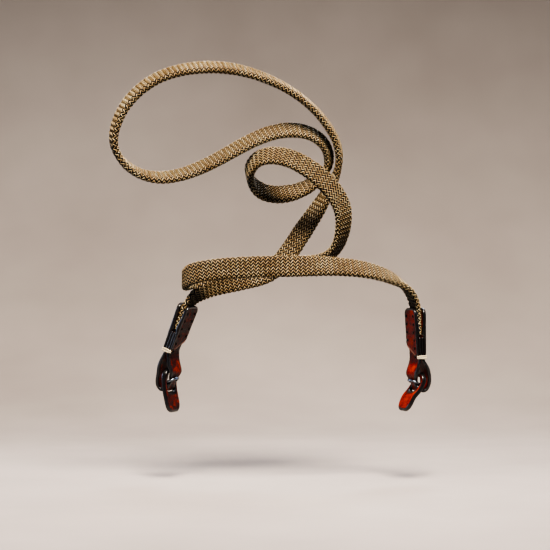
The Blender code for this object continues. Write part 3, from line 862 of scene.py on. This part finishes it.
@dataclass
class LeatherEnd:
    """Stack of two side panels, the folded strip, the thread tack, the wire ring and the slotted tab."""

    side: Side
    toe: float
    level: float
    pinch_out: float
    pinch_up: float
    lean: float
    loop: Rows
    tab: Rows
    foot: float
    slot_start: float
    slot_end: float
    clearance: float = 0.3
    ring_reach: float = 73.85
    ring_radius: float = 4.6
    ring_wire: float = 1.5
    ring_tilt: float = 25.0
    ring_facets: tuple[int, int] = (96, 20)
    band_pinched: float = 3.1
    band_end: float = 14.5
    panel_width: float = 15.4
    panel_foot_thickness: float = 1.1
    panel_top_thickness: float = 2.0
    panel_height: float = 31.0
    panel_radius: float = 4.0
    skive_rise: float = 8.0
    skive_cut: float = 1.3
    skive_raw_and_highlight: float = 0.85
    strip_thickness: float = 1.4
    strip_width: float = 15.0
    strip_heights: tuple[float, ...] = (13.2, 9.0, 5.0, 1.0)
    strip_step: float = 0.55
    bend_thickness: float = 2.1
    bend_swell: float = 6.0
    tab_thickness: float = 2.7
    tab_width: float = 15.0
    tab_radius: float = 4.5
    tab_points: int = 120
    slot_width: float = 11.4
    slot_radius: float = 3.0
    thread: float = 1.15
    tack_height: float = 1.3
    tack_steps: int = 46
    tack_around: int = 14
    stitch_pitch: float = 4.86
    stitch_start: float = 1.8
    stitch_end: float = 3.0
    stitch_inset: float = 2.9
    stitch_lift: float = 0.05
    stitch_half: tuple[float, float, float] = (0.95, 0.85, 0.58)
    corner_dark: float = 4.5
    burnish_width: float = 1.3
    lip_depth: float = 0.9
    lip_heights: tuple[float, ...] = (13.6, 14.8, 20.0, 24.0, 29.0)
    lip_reaches: tuple[float, ...] = (0.0, 1.3, 0.6, 0.1, 0.0)

    def __post_init__(self) -> None:
        """Work out the directions of this end."""
        sign = self.side.value
        toe, lean = math.radians(self.toe), math.radians(self.lean)
        self.middle = np.array([sign * self.ring_reach, 0.0, self.level])
        self.near = np.array([sign * math.sin(toe), -math.cos(toe), 0.0])
        self.out = np.array([sign * math.cos(toe), math.sin(toe), 0.0])
        self.up = np.array([0.0, 0.0, 1.0])
        self.rise = np.array([-math.sin(lean), math.cos(lean)])
        self.over = np.array([math.cos(lean), math.sin(lean)])
        self.gap = self.band_pinched / 2.0 + self.clearance
        self.buried = (self.band_end, self.band_end + 8.0, self.panel_height)
        self.title = self.side.name.lower()

    def world(self, out: float, up: float, near: float = 0.0) -> Array:
        """A point out, up and near the viewer from the ring's middle."""
        return self.middle + self.out * out + self.up * up + self.near * near

    def stack(self, over: float, height: float) -> Array:
        """Out and up of a point in the stack, from its foot."""
        return np.array([self.pinch_out, self.pinch_up]) + self.over * over + self.rise * height

    def stack_point(self, over: float, height: float, near: float = 0.0) -> Array:
        """A point of the stack in the frame."""
        return self.world(*self.stack(over, height), near)

    def through(self, run: float, climb: float) -> Array:
        """The direction through a strip of leather that runs out and climbs up."""
        return self.up * run - self.out * climb

    def panel_thickness(self, height: float) -> float:
        """Thickness of a side panel, thinned toward its foot."""
        growth = self.panel_top_thickness - self.panel_foot_thickness
        return self.panel_foot_thickness + growth * height / self.panel_height

    def add_piece(self, name: str, made_of: str, points: Array, faces: Faces, finish: Material,
                  coordinates: Array | None = None, marks: dict[str, Array] | None = None) -> None:
        """Add one piece of this end in place of its CAD node.

        Args:
            name: Name of the CAD node without its side.
            made_of: Word that ends the piece's name.
            points: Vertex places.
            faces: Vertex indices of each face.
            finish: Its material.
            coordinates: UV pair of each vertex.
            marks: Named share of each vertex.
        """
        node = f"{self.title}_{name}"
        dress(mesh_object(f"{node}_{made_of}", points, faces, finish, coordinates, marks), node)

    def outline(self, skived: bool, steps: int = 10, spacing: float = 1.2) -> Array:
        """Round the corners of a side panel.

        Args:
            skived: Whether the foot ends on a slant.
            steps: Pieces in each corner.
            spacing: Longest step between points on the straight runs, before it is halved.

        Returns:
            Points across and along.
        """
        half = self.panel_width / 2.0
        foot = self.panel_radius / 2.0 if skived else self.panel_radius
        corners = [
            (-half, self.skive_rise if skived else 0.0, self.panel_radius),
            (half, 0.0, foot),
            (half, self.panel_height, self.panel_radius),
            (-half, self.panel_height, self.panel_radius),
        ]
        points: list[Array] = []
        for index, (across, along, radius) in enumerate(corners):
            here = np.array([across, along])
            before = unit(np.array(corners[index - 1][:2]) - here)
            after = unit(np.array(corners[(index + 1) % 4][:2]) - here)
            half_angle = math.acos(float(np.clip(before @ after, -1.0, 1.0))) / 2.0
            centre = here + unit(before + after) * radius / math.sin(half_angle)
            start = here + before * radius / math.tan(half_angle) - centre
            finish = here + after * radius / math.tan(half_angle) - centre
            first = math.atan2(start[1], start[0])
            turn = (math.atan2(finish[1], finish[0]) - first + math.pi) % FULL_TURN - math.pi
            for part in range(steps + 1):
                angle = first + turn * part / steps
                points.append(centre + radius * np.array([math.cos(angle), math.sin(angle)]))
        dense: list[Array] = []
        for here, after in zip(points, points[1:] + points[:1]):
            pieces = max(1, int(np.linalg.norm(after - here) / spacing))
            dense += [here + (after - here) * part / pieces for part in range(pieces)]
        return np.array(dense)

    def inset(self, outline: Array, distance: float) -> Array:
        """Shrink an outline toward its middle by a distance.

        Args:
            outline: Points of a closed line.
            distance: How far each point moves in.

        Returns:
            The moved points.
        """
        ahead = unit(np.roll(outline, -1, axis=0) - outline)
        mean = unit(ahead + np.roll(ahead, 1, axis=0))
        return outline + np.stack([-mean[:, 1], mean[:, 0]], axis=1) * distance

    def panel(self, side: float, name: str, skived: bool, finish: Material) -> None:
        """Build one side panel with a rounded burnished edge and a creased line inside it.

        Args:
            side: One for the outer panel, minus one for the inner one.
            name: Name of the CAD node that it stands for, without its side.
            skived: Whether the foot ends on a slant.
            finish: Its leather.
        """
        outline = self.outline(skived)
        # Each row: inset from the outline, share through the thickness, burnish, and share of the lip's curl.
        profile = (
            (2.4, 0.0, 0.0, 0.0), (1.35, 0.0, 0.4, 0.0), (1.1, 0.0, 0.8, 0.6), (0.8, 0.0, 1.0, 0.95),
            (0.45, 0.01, 1.0, 1.0), (0.18, 0.08, 1.0, 0.92), (0.03, 0.26, 1.0, 0.72), (0.0, 0.5, 1.0, 0.45),
            (0.03, 0.74, 1.0, 0.2), (0.18, 0.92, 1.0, 0.05), (0.45, 1.0, 1.0, 0.0), (0.85, 1.0, 0.9, 0.0),
            (1.15, 0.92, 0.9, 0.0), (1.45, 1.0, 0.3, 0.0), (2.4, 1.02, 0.0, 0.0),
        )
        sections = [(self.inset(outline, row[0]), *row[1:]) for row in profile]
        middle = np.array([0.0, self.panel_height / 2.0])
        crown = sections[-1][0] - middle
        sections += [(middle + crown * share, 1.03, 0.0, 0.0) for share in (0.75, 0.5, 0.25)]
        half = self.panel_width / 2.0
        rings, edge, raw = [], [], []
        for shape, through, dark, curl in sections:
            ring = []
            for (rim, _), (across, along) in zip(outline, shape):
                lip = curl * self.lip(along) if rim > half - self.lip_depth else 0.0
                over = self.gap + through * self.panel_thickness(along) - lip
                ring.append(self.stack_point(side * over, along, across))
                # The skived cut gets the pale mark: partly raw leather, partly painted highlight.
                foot = self.skive_rise * (0.5 - across / self.panel_width)
                cut = skived and through > 0.6 and along - foot < self.skive_cut
                raw.append(self.skive_raw_and_highlight if cut else 0.0)
                edge.append(0.0 if cut else max(dark, self.corner_burnish(across, along)))
            rings.append(ring)
        points, faces = loft(np.array(rings))
        marks = {"edge": np.array(edge), "raw": np.array(raw)}
        self.add_piece(name, "leather", points, faces, finish, marks=marks)

    def corner_burnish(self, across: float, height: float) -> float:
        """Share of burnish near a panel's upper near corner, which hands have polished dark."""
        reach = self.panel_width / 2.0 - across + (self.panel_height - height) * 0.6
        return float(np.clip((self.corner_dark - reach) / 1.5, 0.0, 1.0))

    def lip(self, height: float) -> float:
        """How far a panel's near edge curls in over the band at a height."""
        return float(np.interp(height, self.lip_heights, self.lip_reaches))

    def strip_section(self, width: float, thickness: float) -> tuple[Array, Array]:
        """Section of a leather strip with rounded edges.

        Args:
            width: Across the strip.
            thickness: Through the strip.

        Returns:
            Across and through offsets, and the burnished share of each.
        """
        half, thick = width / 2.0, thickness / 2.0
        radius = thick * 0.9
        corners, edge = [], []
        for part in range(9):
            angle = math.radians(-90.0 + part * 22.5)
            corners.append((half - radius + radius * math.cos(angle), thick * math.sin(angle)))
            edge.append(1.0 if 1 <= part <= 7 else 0.55)
        brim, flat = half - radius - 0.25, max(half - radius - self.burnish_width, 0.3)
        for share, dark in ((0.999, 0.15), (0.5, 0.0), (-0.5, 0.0), (-0.999, 0.15)):
            corners.append((share * flat, thick))
            edge.append(dark)
        corners = [*corners[:9], (brim, thick), *corners[9:], (-brim, thick)]
        edge = [*edge[:9], 0.95, *edge[9:], 0.95]
        return np.vstack([corners, -np.array(corners)]), np.array(edge * 2)

    def loop_strip(self, finish: Material) -> None:
        """Build the folded strip whose bend passes through ring and slot.

        Args:
            finish: Its leather.
        """
        offset = (self.strip_thickness + self.clearance) / 2.0
        heights = self.strip_heights
        inner = [(*self.stack(-offset, height), self.strip_width) for height in heights]
        outer = [(*self.stack(offset, height), self.strip_width) for height in reversed(heights)]
        table = np.array([*inner, *self.loop, *outer])
        knots = knots_of(table[:, :2])
        stations = np.linspace(0.0, knots[-1], int(knots[-1] / self.strip_step) + 1)
        path, direction = natural_spline(table[:, :2], stations)
        widths = np.interp(stations, knots, table[:, 2])
        start = knots[len(heights)]
        free = np.clip(np.minimum(stations - start, knots[-1] - start - stations) / self.bend_swell, 0.0, 1.0)
        thick = self.strip_thickness + (self.bend_thickness - self.strip_thickness) * free
        rings, edge = [], []
        for spot, heading, width, depth in zip(path, direction, widths, thick):
            section, dark = self.strip_section(width, depth)
            through = self.through(*heading)
            rings.append([self.world(*spot, across) + through * rise for across, rise in section])
            edge.append(dark)
        points, faces = loft(np.array(rings))
        marks = {"edge": np.concatenate(edge)}
        self.add_piece("loop_strip", "leather", points, faces, finish, marks=marks)

    def rounded_box(self, start: float, stop: float, width: float, radius: float, count: int) -> Array:
        """Outline of a round-cornered length of tab, from the middle of its top and round.

        Args:
            start: Distance of its top from the tab's top.
            stop: Distance of its bottom from the tab's top.
            width: Across the tab.
            radius: Of its corners.
            count: Number of points.

        Returns:
            Distances along and across.
        """
        side = width / 2.0 - radius
        top, bottom = start + radius, stop - radius
        points = [(start, 0.0)]
        corners = ((top, side, 180.0), (bottom, side, 90.0), (bottom, -side, 0.0), (top, -side, -90.0))
        for along, across, first in corners:
            for part in range(9):
                angle = math.radians(first - part * 11.25)
                points.append((along + radius * math.cos(angle), across + radius * math.sin(angle)))
        table = np.array([*points, (start, 0.0)])
        knots = knots_of(table)
        return between(np.linspace(0.0, knots[-1], count, endpoint=False), knots, table)

    def lug_tab(self, finish: Material) -> None:
        """Build the slotted tab as a band of leather round its slot.

        Args:
            finish: Its leather.
        """
        rows = np.array(self.tab)
        curved = float(knots_of(rows)[-1])
        count = self.tab_points
        outer = self.rounded_box(0.0, curved + self.foot, self.tab_width, self.tab_radius, count)
        slot = self.rounded_box(self.slot_start, self.slot_end, self.slot_width, self.slot_radius, count)
        # Each row: share of the way from the slot to the rim, share of half the thickness, and burnish.
        levels = (
            (0.02, 0.55, 1.0), (0.08, 0.88, 1.0), (0.2, 1.0, 0.5), (0.32, 1.0, 0.0), (0.45, 1.0, 0.0),
            (0.6, 1.0, 0.0), (0.75, 1.0, 0.0), (0.86, 1.0, 0.3), (0.95, 0.88, 1.0), (0.99, 0.5, 1.0),
        )
        under = [(share, -rise, dark) for share, rise, dark in reversed(levels)]
        cycle = [(0.0, 0.0, 1.0), *levels, (1.0, 0.0, 1.0), *under]
        points, edge = [], []
        for share, rise, dark in cycle:
            flat = slot + (outer - slot) * share
            bent = np.minimum(flat[:, 0], curved)
            path, direction = natural_spline(rows, bent)
            path = path + direction * (flat[:, 0] - bent)[:, None]
            for spot, heading, across in zip(path, direction, flat[:, 1]):
                depth = self.through(*heading) * (self.tab_thickness / 2.0 * rise)
                points.append(self.world(*spot, across) + depth)
            edge += [dark] * count
        faces = grid_faces(len(cycle), count, closed=True)
        marks = {"edge": np.array(edge)}
        self.add_piece("lug_tab", "leather", np.array(points), faces, finish, marks=marks)

    def ring(self, finish: Material) -> None:
        """Build the wire ring.

        Args:
            finish: Its steel.
        """
        around, across = self.ring_facets
        tilt = math.radians(self.ring_tilt)
        level = self.out * math.cos(tilt) - self.up * math.sin(tilt)
        axis = np.cross(level, self.near)
        wire = self.ring_wire / 2.0
        points = []
        for turn in range(around):
            angle = FULL_TURN * turn / around
            spoke = level * math.cos(angle) + self.near * math.sin(angle)
            for part in range(across):
                spin = FULL_TURN * part / across
                reach = self.ring_radius + wire * math.cos(spin)
                points.append(self.middle + spoke * reach + axis * (wire * math.sin(spin)))
        faces = grid_faces(around, across, closed=True)
        self.add_piece("ring", "wire", np.array(points), faces, finish)

    def tack(self, finish: Material) -> None:
        """Bind two threads across the near edge of the stack, with their ends down its faces.

        Args:
            finish: The cream thread.
        """
        half = self.gap + self.panel_thickness(self.tack_height)
        edge = self.panel_width / 2.0
        down = ((half - 0.25, edge - 0.5), (half - 0.1, edge + 0.1), (half * 0.55, edge + 0.6))
        near_side = [(-over, near) for over, near in down]
        table = np.array([*near_side, (0.0, edge + 0.75), *reversed(down)])
        knots = knots_of(table)
        stations = np.linspace(0.0, knots[-1], self.tack_steps)
        path, direction = natural_spline(table, stations)
        foot = self.stack_point(0.0, 0.0)
        along = self.stack_point(0.0, 1.0) - foot
        over_axis = self.stack_point(1.0, 0.0) - foot
        points, faces, coordinates = [], [], []
        for shift in (0.5, -0.5):
            rings = []
            for index, ((over, near), (run, climb)) in enumerate(zip(path, direction)):
                fade = abs(2.0 * index / (len(path) - 1) - 1.0) ** 3
                radius = self.thread / 2.0 * (1.0 - 0.45 * fade)
                centre = self.stack_point(over, self.tack_height + shift * radius * 2.1, near)
                through = over_axis * climb - self.near * run
                for part in range(self.tack_around):
                    angle = FULL_TURN * part / self.tack_around
                    rings.append(centre + (along * math.cos(angle) + through * math.sin(angle)) * radius)
                    coordinates.append((stations[index] / knots[-1], part / self.tack_around))
            tube, tube_faces = loft(np.reshape(rings, (len(path), self.tack_around, 3)))
            faces += [tuple(index + len(points) for index in face) for face in tube_faces]
            points += list(tube)
        uv = np.array(coordinates)
        self.add_piece("thread_tack", "thread", np.array(points), faces, finish, uv)

    def stitch_tree(self) -> NodeTree:
        """Build the tree that repeats one stitch along a line.

        Returns:
            The geometry tree.
        """
        kinds = {"Count": "Int", "Pitch": "Float", "Stitch": "Object", "Thread": "Material"}
        tree, add, inputs = new_tree("stitch_row", kinds)
        step = add("ShaderNodeCombineXYZ", links={0: inputs["Pitch"]})
        line = add("GeometryNodeMeshLine", {"mode": "OFFSET"}, {"Count": inputs["Count"], "Offset": step})
        source = add("GeometryNodeObjectInfo", links={"Object": inputs["Stitch"]}).outputs["Geometry"]
        placed = add("GeometryNodeInstanceOnPoints", links={"Points": line, "Instance": source})
        end_tree(add, placed, inputs["Thread"])
        return tree

    def stitch(self, finish: Material) -> Object:
        """Model one stitch on the flat, rounded on top and sunk at its ends.

        Args:
            finish: Its thread.

        Returns:
            The stitch, centred at the origin.
        """
        long, wide, high = self.stitch_half
        shares, around = (-1.0, -0.8, -0.4, 0.0, 0.4, 0.8, 1.0), 8
        rings, coordinates = [], []
        for share in shares:
            slim = math.sqrt(max(0.04, 1.0 - share**4))
            for part in range(around):
                angle = FULL_TURN * part / around
                rise = math.sin(angle) * high * slim - 0.12 * share**2
                rings.append((share * long, math.cos(angle) * wide * slim, rise))
                coordinates.append(((share + 1.0) * 0.08, part / around))
        points, faces = loft(np.reshape(rings, (len(shares), around, 3)))
        return mesh_object("stitch_source", points / MM, faces, finish, np.array(coordinates))

    def stitches(self, finish: Material) -> None:
        """Sew a row of stitches down both long edges of each panel's outer face.

        Args:
            finish: The dark thread.
        """
        source = self.stitch(finish)
        sewn = self.panel_height - self.stitch_start - self.stitch_end
        values = {"Pitch": self.stitch_pitch, "Stitch": source, "Thread": finish}
        values["Count"] = int(sewn / self.stitch_pitch) + 1
        mesh = run_tree(self.title + "_stitch_row", self.stitch_tree(), values)
        flat = vertex_places(mesh)
        polygons = [tuple(polygon.vertices) for polygon in mesh.polygons]
        points, faces = [], []
        for side, row in ((1.0, 1.0), (1.0, -1.0), (-1.0, 1.0), (-1.0, -1.0)):
            lowest = 0.5 + (self.skive_rise if side < 0.0 and row < 0.0 else 0.0)
            base, kept = len(points), set()
            for index, (along, across, height) in enumerate(flat):
                reach = self.stitch_start + along
                over = self.gap + self.panel_thickness(reach) + height + self.stitch_lift
                near = row * (self.panel_width / 2.0 - self.stitch_inset) + across
                points.append(self.stack_point(side * over, reach, near))
                if reach > lowest:
                    kept.add(index)
            for polygon in polygons:
                if kept.issuperset(polygon):
                    face = tuple(index + base for index in polygon)
                    faces.append(face if side * row > 0.0 else tuple(reversed(face)))
        used = sorted({index for face in faces for index in face})
        order = {index: place for place, index in enumerate(used)}
        faces = [tuple(order[index] for index in face) for face in faces]
        dress(mesh_object(self.title + "_panel_stitches", np.array(points)[used], faces, finish))
        bpy.data.objects.remove(source, do_unlink=True)

    def build(self, leather: Material, cream: Material, dark: Material, steel: Material) -> None:
        """Build and dress every piece of this end.

        Args:
            leather: Finish of its panels, strip and tab.
            cream: Thread of the tack.
            dark: Thread of the stitches.
            steel: Finish of the ring.
        """
        self.panel(1.0, "outer_panel", False, leather)
        self.panel(-1.0, "inner_panel", True, leather)
        self.loop_strip(leather)
        self.lug_tab(leather)
        self.tack(cream)
        self.stitches(dark)
        self.ring(steel)
        log.info("%s leather end: %.1f mm panels, %.1f mm tab", self.title, self.panel_height, self.tab_width)


def left_end() -> LeatherEnd:
    """Give the left leather end its sizes: it leans in over the ring.

    Returns:
        The left end.
    """
    return LeatherEnd(
        side=Side.LEFT,
        toe=23.6,
        level=0.5,
        pinch_out=-0.4,
        pinch_up=17.9,
        lean=22.0,
        loop=(
            (-1.4, 15.5, 15.0), (-1.6, 12.0, 15.0), (-2.6, 8.3, 15.0), (-3.0, 5.6, 14.0),
            (-2.0, 3.0, 11.0), (-0.9, 0.7, 6.4), (0.1, -2.1, 9.5), (1.4, -4.0, 10.8),
            (3.4, -4.9, 11.0), (5.5, -4.0, 11.0), (6.6, -1.4, 12.5), (6.2, 2.0, 14.0),
            (5.5, 5.5, 14.5), (4.9, 9.0, 15.0), (3.3, 13.2, 15.0), (1.3, 16.8, 15.0),
        ),
        tab=((0.1, 7.8), (1.3, 3.5), (1.3, -0.6), (0.7, -6.0), (-0.1, -9.8), (-0.6, -12.2)),
        foot=6.5,
        slot_start=2.5,
        slot_end=14.0,
    )


def right_end() -> LeatherEnd:
    """Give the right leather end its sizes: it stands almost upright.

    Returns:
        The right end.
    """
    return LeatherEnd(
        side=Side.RIGHT,
        toe=20.5,
        level=-0.5,
        pinch_out=0.9,
        pinch_up=14.5,
        lean=2.0,
        loop=(
            (-0.4, 12.2, 15.0), (-1.5, 8.5, 15.0), (-2.2, 5.2, 14.5), (-1.6, 2.6, 11.0),
            (-0.6, -0.3, 6.4), (0.5, -3.0, 10.0), (2.4, -4.4, 11.0), (4.4, -4.3, 11.0),
            (6.1, -2.4, 11.5), (6.8, 1.3, 13.5), (6.4, 5.0, 14.5), (5.2, 9.2, 15.0),
            (3.4, 12.4, 15.0),
        ),
        tab=((2.2, 6.1), (2.6, 2.2), (1.5, -1.1), (-0.6, -4.3), (-3.3, -7.2), (-4.9, -9.4), (-5.8, -11.2)),
        foot=6.0,
        slot_start=2.5,
        slot_end=12.3,
    )


# Studio


@dataclass
class Studio:
    """Plain pale floor that sweeps up behind, soft lights, and the camera at the photograph's angle."""

    camera_place: tuple[float, float, float] = (-0.011, -1.216, 0.0648)
    view_degrees: float = 15.57
    floor_level: float = -0.0602
    floor_half: float = 3.0
    floor_front: float = -2.5
    wall_height: float = 3.0
    sweep_start: float = 0.35
    sweep_radius: float = 0.5
    sweep_steps: int = 24
    key_spread: float = 57.0
    fill: float = 0.13
    aim: tuple[float, float, float] = (0.0, 0.0, 0.09)

    def camera(self) -> None:
        """Set the camera level along +Y."""
        data = bpy.data.cameras.new("camera")
        data.sensor_fit = "HORIZONTAL"
        data.angle = math.radians(self.view_degrees)
        data.clip_start = 0.05
        data.clip_end = 20.0
        camera = add_object("camera", data)
        camera.location = self.camera_place
        camera.rotation_euler = (math.radians(90.0), 0.0, 0.0)
        bpy.context.scene.camera = camera

    def floor(self) -> None:
        """Make the floor with its sweep."""
        profile = [(self.floor_front, 0.0), (self.sweep_start, 0.0)]
        for part in range(1, self.sweep_steps + 1):
            angle = math.radians(90.0 * part / self.sweep_steps)
            depth = self.sweep_start + self.sweep_radius * math.sin(angle)
            profile.append((depth, self.sweep_radius * (1.0 - math.cos(angle))))
        profile.append((self.sweep_start + self.sweep_radius, self.wall_height))
        sides = (-self.floor_half, self.floor_half)
        points = [(side, depth, self.floor_level + height) for depth, height in profile for side in sides]
        faces = [(2 * row, 2 * row + 1, 2 * row + 3, 2 * row + 2) for row in range(len(profile) - 1)]
        mesh = bpy.data.meshes.new("floor")
        mesh.from_pydata(points, [], faces)
        mesh.update()
        mesh.materials.append(PlasterFinish().build())
        smooth(mesh)
        floor = add_object("floor", mesh)
        floor.visible_diffuse = False

    def light(self, name: str, place: tuple[float, float, float], size: float, power: float, colour: str,
              glint: bool = False) -> None:
        """Add one soft light that faces the strap.

        Args:
            name: Its name.
            place: Where it stands, in metres.
            size: Side of its square, in metres.
            power: In watts.
            colour: sRGB hex.
            glint: Whether it shows only in polished surfaces.
        """
        data = bpy.data.lights.new(name, "AREA")
        data.size = size
        data.energy = power
        data.color = srgb(colour)[:3]
        data.spread = math.radians(180.0 if glint else self.key_spread)
        lamp = add_object(name, data)
        lamp.location = place
        lamp.visible_diffuse = not glint
        lamp.rotation_euler = (Vector(self.aim) - Vector(place)).to_track_quat("-Z", "Y").to_euler()

    def build(self) -> None:
        """Set up camera, floor, lights and the sky's fill."""
        self.camera()
        self.floor()
        self.light("key", (0.12, -1.05, 1.5), 0.6, 10.4, "fff1e2")
        self.light("back", (0.25, 0.72, 0.95), 0.5, 1.6, "f2f4ff")
        self.light("left_edge", (-1.2, 0.1, 0.25), 0.5, 9.0, "cfdfff", glint=True)
        self.light("right_edge", (1.2, 0.1, 0.3), 0.4, 3.0, "cfe0ff", glint=True)
        world = bpy.data.worlds.new("studio")
        world.use_nodes = True
        feed(world.node_tree.nodes["Background"], {0: srgb("cfd6e2"), 1: self.fill})
        bpy.context.scene.world = world
        bpy.context.scene.view_settings.look = "AgX - High Contrast"


def main() -> None:
    """Build the whole scene."""
    logging.basicConfig(level=logging.INFO, format="%(message)s")
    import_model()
    Studio().build()
    ends = (left_end(), right_end())
    WovenBand().build(ends)
    # Two copies of the leather: the left end's is darker as painted shade, the right end's brighter and
    # redder as painted light.
    shaded_leather = LeatherFinish(
        "tanned_leather_dark",
        bright="a5340f",
        middle="571308",
        deep="1c0705",
        deep_share=0.44,
        bright_share=0.64,
    ).build()
    lit_leather = LeatherFinish(
        "tanned_leather_red",
        bright="cf4a14",
        middle="9a2007",
        deep_share=0.37,
        bright_share=0.68,
    ).build()
    cream = ThreadFinish().build()
    # Near-black thread: the shade of the stitch holes is painted into its colour as well.
    dark = ThreadFinish("dark_thread", "120c0a", "050303").build()
    steel = SteelFinish().build()
    for end, leather in zip(ends, (shaded_leather, lit_leather)):
        end.build(leather, cream, dark, steel)


if __name__ == "__main__":
    main()
